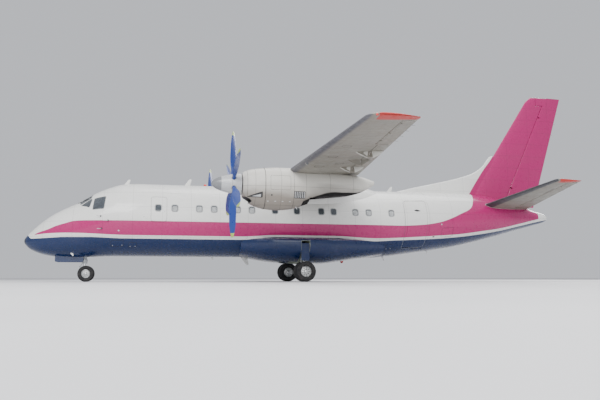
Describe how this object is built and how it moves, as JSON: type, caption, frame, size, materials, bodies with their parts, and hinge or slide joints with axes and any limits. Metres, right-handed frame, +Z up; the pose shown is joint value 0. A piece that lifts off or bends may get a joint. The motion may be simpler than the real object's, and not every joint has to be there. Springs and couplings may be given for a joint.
{
  "type": "twin-engined turboprop airliner",
  "caption": "High-wing turboprop airliner parked on its landing gear, with turning propellers and wheels, steering nose gear, moving flaps, ailerons and tail surfaces, and a stair door.",
  "frame": {"origin": "on the ground, under the middle of the aircraft's length, on its plane of symmetry", "axes": "+X forward to the nose, +Y to port along the span, +Z up"},
  "size_m": [22.6049, 24.505, 8.232],
  "materials": {
    "white_paint": "gloss white paint over aluminium skin",
    "lower_paint": "gloss dark blue paint over aluminium skin",
    "lower_paint_composite": "gloss dark blue paint over glass-fibre composite",
    "tail_paint": "gloss magenta paint over aluminium skin",
    "tail_paint_composite": "gloss magenta paint over composite",
    "wing_paint": "satin grey paint over aluminium skin, dirty",
    "wing_paint_composite": "satin grey paint over composite, dirty",
    "nacelle_paint": "off-white paint over aluminium skin, sooty behind the exhaust",
    "engine_steel": "heat-darkened steel",
    "blade_paint": "satin blue paint over aluminium",
    "spinner_paint": "light grey paint over aluminium",
    "gear_steel": "grey enamel over steel, oily",
    "wheel_metal": "cast light alloy, brake-dusty",
    "tyre": "black rubber, grey where it is worn"
  },
  "bodies": {
    "airframe": {"radome": "lower_paint_composite", "forward_fuselage": "white_paint", "centre_fuselage": "white_paint", "rear_fuselage": "white_paint", "tail_cone": "tail_paint_composite", "belly_blister": "lower_paint_composite", "wing_centre": "wing_paint", "wing_port": "wing_paint", "wing_starboard": "wing_paint", "tailplane_port": "wing_paint", "tailplane_starboard": "wing_paint", "fin": "tail_paint", "nacelle_port": "nacelle_paint", "nacelle_starboard": "nacelle_paint", "engine_port": "engine_steel", "engine_starboard": "engine_steel", "nose_leg": "gear_steel", "nose_door_port": "lower_paint", "nose_door_starboard": "lower_paint", "main_leg_port": "gear_steel", "main_leg_starboard": "gear_steel", "main_door_port": "lower_paint", "main_door_starboard": "lower_paint"},
    "port_propeller": {"propeller_port": "blade_paint", "spinner_port": "spinner_paint"},
    "starboard_propeller": {"propeller_starboard": "blade_paint", "spinner_starboard": "spinner_paint"},
    "nose_steering": {"nose_fork": "gear_steel"},
    "nose_wheel_pair": {"nose_wheels": "wheel_metal", "nose_tyre_left": "tyre", "nose_tyre_right": "tyre"},
    "port_wheel_pair": {"main_port_wheels": "wheel_metal", "main_port_tyre_left": "tyre", "main_port_tyre_right": "tyre"},
    "starboard_wheel_pair": {"main_starboard_wheels": "wheel_metal", "main_starboard_tyre_left": "tyre", "main_starboard_tyre_right": "tyre"},
    "port_inner_flap": {"inner_flap_port": "wing_paint"},
    "starboard_inner_flap": {"inner_flap_starboard": "wing_paint"},
    "port_outer_flap": {"outer_flap_port": "wing_paint"},
    "starboard_outer_flap": {"outer_flap_starboard": "wing_paint"},
    "port_aileron": {"aileron_port": "wing_paint_composite"},
    "starboard_aileron": {"aileron_starboard": "wing_paint_composite"},
    "port_elevator": {"elevator_port": "wing_paint_composite"},
    "starboard_elevator": {"elevator_starboard": "wing_paint_composite"},
    "rudder_panel": {"rudder": "tail_paint_composite"},
    "stair_door": {"passenger_door": "white_paint"}
  },
  "joints": [
    {"name": "port_propeller_spin", "type": "hinge", "parent": "airframe", "child": "port_propeller", "pos_m": [4.1225, 4.13, 3.29], "axis": [1, 0, 0], "continuous": true},
    {"name": "starboard_propeller_spin", "type": "hinge", "parent": "airframe", "child": "starboard_propeller", "pos_m": [4.1225, -4.13, 3.29], "axis": [1, 0, 0], "continuous": true},
    {"name": "nose_steer", "type": "hinge", "parent": "airframe", "child": "nose_steering", "pos_m": [9.1425, 0, 0.7], "axis": [0, 0, 1], "range_deg": [-50, 50]},
    {"name": "nose_wheel_spin", "type": "hinge", "parent": "nose_steering", "child": "nose_wheel_pair", "pos_m": [9.0825, 0, 0.3], "axis": [0, 1, 0], "continuous": true},
    {"name": "port_wheel_spin", "type": "hinge", "parent": "airframe", "child": "port_wheel_pair", "pos_m": [1.0425, 1.59, 0.385], "axis": [0, 1, 0], "continuous": true},
    {"name": "starboard_wheel_spin", "type": "hinge", "parent": "airframe", "child": "starboard_wheel_pair", "pos_m": [1.0425, -1.59, 0.385], "axis": [0, 1, 0], "continuous": true},
    {"name": "port_inner_flap_down", "type": "hinge", "parent": "airframe", "child": "port_inner_flap", "pos_m": [0.07699, 1.9, 3.58417], "axis": [-0.0733, -0.9973, -0.0027], "range_deg": [0, 35]},
    {"name": "starboard_inner_flap_down", "type": "hinge", "parent": "airframe", "child": "starboard_inner_flap", "pos_m": [0.07699, -1.9, 3.58417], "axis": [0.0733, -0.9973, 0.0027], "range_deg": [0, 35]},
    {"name": "port_outer_flap_down", "type": "hinge", "parent": "airframe", "child": "port_outer_flap", "pos_m": [0.40225, 5.7, 3.60903], "axis": [-0.1026, -0.9947, -0.0116], "range_deg": [0, 35]},
    {"name": "starboard_outer_flap_down", "type": "hinge", "parent": "airframe", "child": "starboard_outer_flap", "pos_m": [0.40225, -5.7, 3.60903], "axis": [0.1026, -0.9947, 0.0116], "range_deg": [0, 35]},
    {"name": "port_aileron_turn", "type": "hinge", "parent": "airframe", "child": "port_aileron", "pos_m": [0.8002, 9.23, 3.85155], "axis": [0.1021, 0.9948, 0.0056], "range_deg": [-22, 22]},
    {"name": "starboard_aileron_turn", "type": "hinge", "parent": "airframe", "child": "starboard_aileron", "pos_m": [0.8002, -9.23, 3.85155], "axis": [-0.1021, 0.9948, -0.0056], "range_deg": [-22, 22]},
    {"name": "port_elevator_turn", "type": "hinge", "parent": "airframe", "child": "port_elevator", "pos_m": [-8.4015, 0.29614, 3.10796], "axis": [-0.0506, 0.9859, 0.1597], "range_deg": [-18, 25]},
    {"name": "starboard_elevator_turn", "type": "hinge", "parent": "airframe", "child": "starboard_elevator", "pos_m": [-8.4015, -0.29614, 3.10796], "axis": [0.0506, 0.9859, -0.1597], "range_deg": [-18, 25]},
    {"name": "rudder_turn", "type": "hinge", "parent": "airframe", "child": "rudder_panel", "pos_m": [-8.2015, 0, 3.05], "axis": [-0.4195, 0, 0.9078], "range_deg": [-25, 25]},
    {"name": "stair_door_open", "type": "hinge", "parent": "airframe", "child": "stair_door", "pos_m": [-3.6575, 0.72553, 1.397], "axis": [-0.9784, -0.2066, 0], "range_deg": [0, 120]}
  ],
  "couplings": [
    {"joint": "starboard_inner_flap_down", "follows": "port_inner_flap_down", "ratio": 1},
    {"joint": "port_outer_flap_down", "follows": "port_inner_flap_down", "ratio": 1},
    {"joint": "starboard_outer_flap_down", "follows": "port_inner_flap_down", "ratio": 1},
    {"joint": "starboard_aileron_turn", "follows": "port_aileron_turn", "ratio": -1},
    {"joint": "starboard_elevator_turn", "follows": "port_elevator_turn", "ratio": 1}
  ]
}
